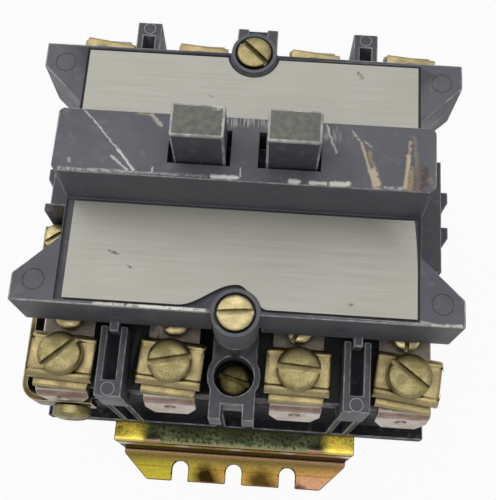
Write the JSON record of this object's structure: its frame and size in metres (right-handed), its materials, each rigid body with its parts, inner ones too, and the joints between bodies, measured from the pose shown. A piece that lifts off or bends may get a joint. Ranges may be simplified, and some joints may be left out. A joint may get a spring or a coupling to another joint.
{
  "type": "panel-mount magnetic contactor",
  "caption": "Open panel-mount magnetic contactor: bow-tie front cover, pole screw clamps at both ends, spring-returned crossbar with contact bridges, on a slotted standoff bracket.",
  "frame": {"origin": "Centre of the panel face under the bracket, level with the back of its two feet.", "axes": "+Z out of the panel to the front cover and the direction the crossbar returns; +Y to the line end; +X to the right of someone who faces the cover."},
  "size_m": [0.0936, 0.1124, 0.1068],
  "materials": {
    "yellow_zinc": "yellow chromate zinc plating on pressed steel",
    "black_phenolic": "moulded black phenolic, scuffed grey on edges",
    "lamination_steel": "ground laminated magnet steel",
    "coil_varnish": "varnished encapsulated winding",
    "nameplate_aluminium": "thin brushed aluminium sheet, bare",
    "spring_steel": "drawn spring wire",
    "brass": "aged brass and chromate-washed screws",
    "copper_alloy": "tarnished pinkish copper-alloy strap"
  },
  "bodies": {
    "base": {"mounting_bracket": "yellow_zinc", "magnet_housing": "black_phenolic", "contact_block": "black_phenolic", "front_cover": "black_phenolic", "magnet_core": "lamination_steel", "coil": "coil_varnish", "upper_nameplate": "nameplate_aluminium", "lower_nameplate": "nameplate_aluminium", "coil_jumper": "brass", "jumper_screw": "brass", "coil_terminal_screw": "brass", "cover_screw_line": "brass", "block_screw_line": "brass", "strap_line_1": "copper_alloy", "clamp_line_1": "brass", "terminal_screw_line_1": "brass", "contact_screw_line_1": "brass", "strap_line_2": "copper_alloy", "clamp_line_2": "brass", "terminal_screw_line_2": "brass", "contact_screw_line_2": "brass", "strap_line_3": "copper_alloy", "clamp_line_3": "brass", "terminal_screw_line_3": "brass", "contact_screw_line_3": "brass", "strap_line_4": "copper_alloy", "clamp_line_4": "brass", "terminal_screw_line_4": "brass", "contact_screw_line_4": "brass", "cover_screw_load": "brass", "block_screw_load": "brass", "strap_load_1": "copper_alloy", "clamp_load_1": "brass", "terminal_screw_load_1": "brass", "contact_screw_load_1": "brass", "strap_load_2": "copper_alloy", "clamp_load_2": "brass", "terminal_screw_load_2": "brass", "contact_screw_load_2": "brass", "strap_load_3": "copper_alloy", "clamp_load_3": "brass", "terminal_screw_load_3": "brass", "contact_screw_load_3": "brass", "strap_load_4": "copper_alloy", "clamp_load_4": "brass", "terminal_screw_load_4": "brass", "contact_screw_load_4": "brass"},
    "carrier": {"crossbar": "black_phenolic", "armature": "lamination_steel", "armature_pin": "spring_steel", "return_spring_left": "spring_steel", "return_spring_right": "spring_steel"},
    "bridge_1": {"contact_bridge_1": "copper_alloy", "contact_spring_1": "spring_steel"},
    "bridge_2": {"contact_bridge_2": "copper_alloy", "contact_spring_2": "spring_steel"},
    "bridge_3": {"contact_bridge_3": "copper_alloy", "contact_spring_3": "spring_steel"},
    "bridge_4": {"contact_bridge_4": "copper_alloy", "contact_spring_4": "spring_steel"}
  },
  "joints": [
    {"name": "closing_slide", "type": "slide", "parent": "base", "child": "carrier", "axis": [0, 0, 1], "range_m": [-0.006, 0], "stiffness_N_per_m": 600, "springref_m": 0.004, "deforming": ["return_spring_left", "return_spring_right"]},
    {"name": "bridge_slide_1", "type": "slide", "parent": "carrier", "child": "bridge_1", "axis": [0, 0, 1], "range_m": [0, 0.0022], "stiffness_N_per_m": 150, "deforming": ["contact_spring_1"]},
    {"name": "bridge_slide_2", "type": "slide", "parent": "carrier", "child": "bridge_2", "axis": [0, 0, 1], "range_m": [0, 0.0022], "stiffness_N_per_m": 150, "deforming": ["contact_spring_2"]},
    {"name": "bridge_slide_3", "type": "slide", "parent": "carrier", "child": "bridge_3", "axis": [0, 0, 1], "range_m": [0, 0.0022], "stiffness_N_per_m": 150, "deforming": ["contact_spring_3"]},
    {"name": "bridge_slide_4", "type": "slide", "parent": "carrier", "child": "bridge_4", "axis": [0, 0, 1], "range_m": [0, 0.0022], "stiffness_N_per_m": 150, "deforming": ["contact_spring_4"]}
  ],
  "couplings": [
    {"joint": "bridge_slide_1", "follows": "closing_slide", "ratio": -0.35},
    {"joint": "bridge_slide_2", "follows": "closing_slide", "ratio": -0.35},
    {"joint": "bridge_slide_3", "follows": "closing_slide", "ratio": -0.35},
    {"joint": "bridge_slide_4", "follows": "closing_slide", "ratio": -0.35}
  ]
}
